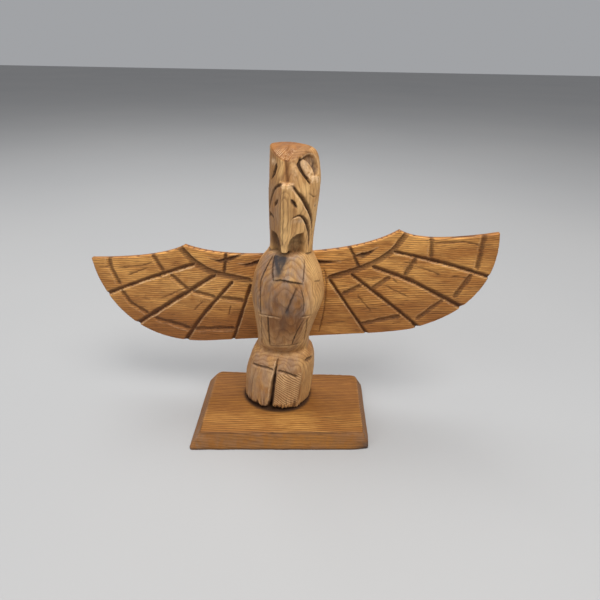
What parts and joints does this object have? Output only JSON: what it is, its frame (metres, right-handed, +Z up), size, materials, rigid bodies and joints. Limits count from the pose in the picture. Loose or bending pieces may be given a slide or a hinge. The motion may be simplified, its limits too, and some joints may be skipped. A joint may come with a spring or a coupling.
{
  "type": "totem pole",
  "caption": "Small carved wooden totem pole: a standing bird with a long hooked beak and grooved spread wings, on a low bevelled block.",
  "frame": {"origin": "centre of the block's underside", "axes": "+Z up, +X to the viewer's right along the wings, and the carved side faces -Y"},
  "size_m": [0.1937, 0.0558, 0.1401],
  "materials": {
    "block_wood": "oiled cedar, satin",
    "pole_wood": "carved cedar, greyed by age, matt",
    "wing_wood": "carved cedar with dark scorched grooves, satin"
  },
  "bodies": {
    "root": {"block": "block_wood", "pole": "pole_wood", "wings": "wing_wood"}
  },
  "joints": []
}
